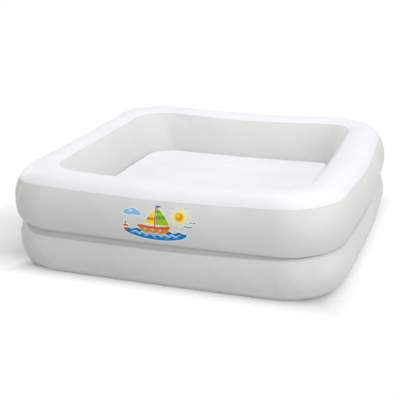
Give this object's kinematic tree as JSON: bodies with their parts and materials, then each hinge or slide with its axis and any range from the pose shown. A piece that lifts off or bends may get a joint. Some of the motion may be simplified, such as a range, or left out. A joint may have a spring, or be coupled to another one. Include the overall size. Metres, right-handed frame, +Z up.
{
  "type": "inflatable bathtub",
  "caption": "Free-standing inflatable bathtub of white vinyl film, square with round corners: stacked air rings, a tied air floor, push-in valves and a drain plug.",
  "frame": {"origin": "middle of the tub's outline, on the surface it stands on", "axes": "+Z up, the front side towards -Y, +X to the right seen from the front"},
  "size_m": [0.8552, 0.8514, 0.2515],
  "materials": {
    "film_white": "soft satin white vinyl film",
    "film_inner": "white vinyl film inside the air chambers",
    "fitting_white": "soft moulded white vinyl",
    "valve_plastic": "clear-white soft vinyl"
  },
  "bodies": {
    "tub": {"top_sheet": "film_white", "upper_outer_wall": "film_white", "upper_inner_wall": "film_white", "divider_sheet": "film_inner", "lower_outer_wall": "film_white", "lower_inner_wall": "film_inner", "floor_top_sheet": "film_white", "base_sheet": "film_white", "floor_web_1": "film_inner", "floor_web_2": "film_inner", "floor_web_3": "film_inner", "upper_valve_flange": "fitting_white", "upper_valve_boot": "fitting_white", "lower_valve_flange": "fitting_white", "lower_valve_boot": "fitting_white", "floor_valve_flange": "fitting_white", "floor_valve_boot": "fitting_white", "drain_sleeve": "fitting_white"},
    "upper_stem": {"upper_valve_stem": "valve_plastic"},
    "upper_flap": {"upper_valve_check_flap": "valve_plastic"},
    "upper_plug": {"upper_valve_plug": "valve_plastic"},
    "lower_stem": {"lower_valve_stem": "valve_plastic"},
    "lower_flap": {"lower_valve_check_flap": "valve_plastic"},
    "lower_plug": {"lower_valve_plug": "valve_plastic"},
    "floor_stem": {"floor_valve_stem": "valve_plastic"},
    "floor_flap": {"floor_valve_check_flap": "valve_plastic"},
    "floor_plug": {"floor_valve_plug": "valve_plastic"},
    "drain_plug": {"drain_plug": "valve_plastic"}
  },
  "joints": [
    {"name": "upper_stem_push", "type": "slide", "parent": "tub", "child": "upper_stem", "axis": [0, 1, 0], "range_m": [0, 0.012], "deforming": ["upper_valve_boot"]},
    {"name": "upper_flap_hinge", "type": "hinge", "parent": "upper_stem", "child": "upper_flap", "pos_m": [-0.07835, 0.40867, 0.1714], "axis": [-1, 0, 0], "range_deg": [0, 70], "stiffness_Nm_per_rad": 0.0001, "springref_deg": -11.46},
    {"name": "upper_plug_hinge", "type": "hinge", "parent": "upper_stem", "child": "upper_plug", "pos_m": [-0.07835, 0.42367, 0.1571], "axis": [-1, 0, 0], "range_deg": [0, 130]},
    {"name": "lower_stem_push", "type": "slide", "parent": "tub", "child": "lower_stem", "axis": [0, 1, 0], "range_m": [0, 0.012], "deforming": ["lower_valve_boot"]},
    {"name": "lower_flap_hinge", "type": "hinge", "parent": "lower_stem", "child": "lower_flap", "pos_m": [-0.07296, 0.40948, 0.0694], "axis": [-1, 0, 0], "range_deg": [0, 70], "stiffness_Nm_per_rad": 0.0001, "springref_deg": -11.46},
    {"name": "lower_plug_hinge", "type": "hinge", "parent": "lower_stem", "child": "lower_plug", "pos_m": [-0.07296, 0.42448, 0.0551], "axis": [-1, 0, 0], "range_deg": [0, 130]},
    {"name": "floor_stem_push", "type": "slide", "parent": "tub", "child": "floor_stem", "axis": [0, 0, 1], "range_m": [0, 0.012], "deforming": ["floor_valve_boot"]},
    {"name": "floor_flap_hinge", "type": "hinge", "parent": "floor_stem", "child": "floor_flap", "pos_m": [-0.12817, -0.20243, 0.12115], "axis": [1, 0, 0], "range_deg": [0, 70], "stiffness_Nm_per_rad": 0.0001, "springref_deg": -11.46},
    {"name": "floor_plug_hinge", "type": "hinge", "parent": "floor_stem", "child": "floor_plug", "pos_m": [-0.12817, -0.21673, 0.13615], "axis": [1, 0, 0], "range_deg": [0, 130]},
    {"name": "drain_plug_hinge", "type": "hinge", "parent": "tub", "child": "drain_plug", "pos_m": [0.14183, -0.23033, 0.1386], "axis": [1, 0, 0], "range_deg": [0, 140]}
  ]
}
